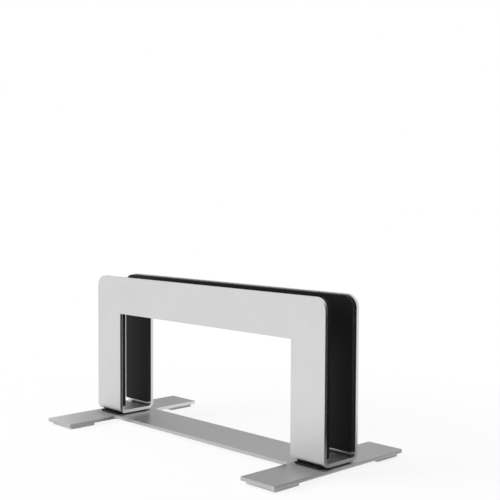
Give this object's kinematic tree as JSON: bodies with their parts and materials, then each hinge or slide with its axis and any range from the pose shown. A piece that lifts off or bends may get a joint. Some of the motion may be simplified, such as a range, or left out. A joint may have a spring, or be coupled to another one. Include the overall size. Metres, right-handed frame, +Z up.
{
  "type": "vertical laptop stand",
  "caption": "Vertical laptop stand: a U-shaped cradle folded from aluminium sheet, with a window in each side and soft liners, screwed to a flat base plate with padded feet.",
  "frame": {"origin": "middle of the footprint, on the surface that the foot pads stand on", "axes": "+X along the slot, -Y towards the front in the picture, +Z up"},
  "size_m": [0.209, 0.107, 0.097],
  "materials": {
    "sheet": "fine bead blasted and clear anodised, satin",
    "liner": "black silicone sheet, matte",
    "foot_pad": "pale grey silicone, matte",
    "fastener": "zinc plated"
  },
  "bodies": {
    "root": {"cradle": "sheet", "base_plate": "sheet", "front_liner": "liner", "back_liner": "liner", "front_left_foot_pad": "foot_pad", "front_right_foot_pad": "foot_pad", "back_left_foot_pad": "foot_pad", "back_right_foot_pad": "foot_pad", "left_gasket": "liner", "right_gasket": "liner", "cradle_screws": "fastener"}
  },
  "joints": []
}
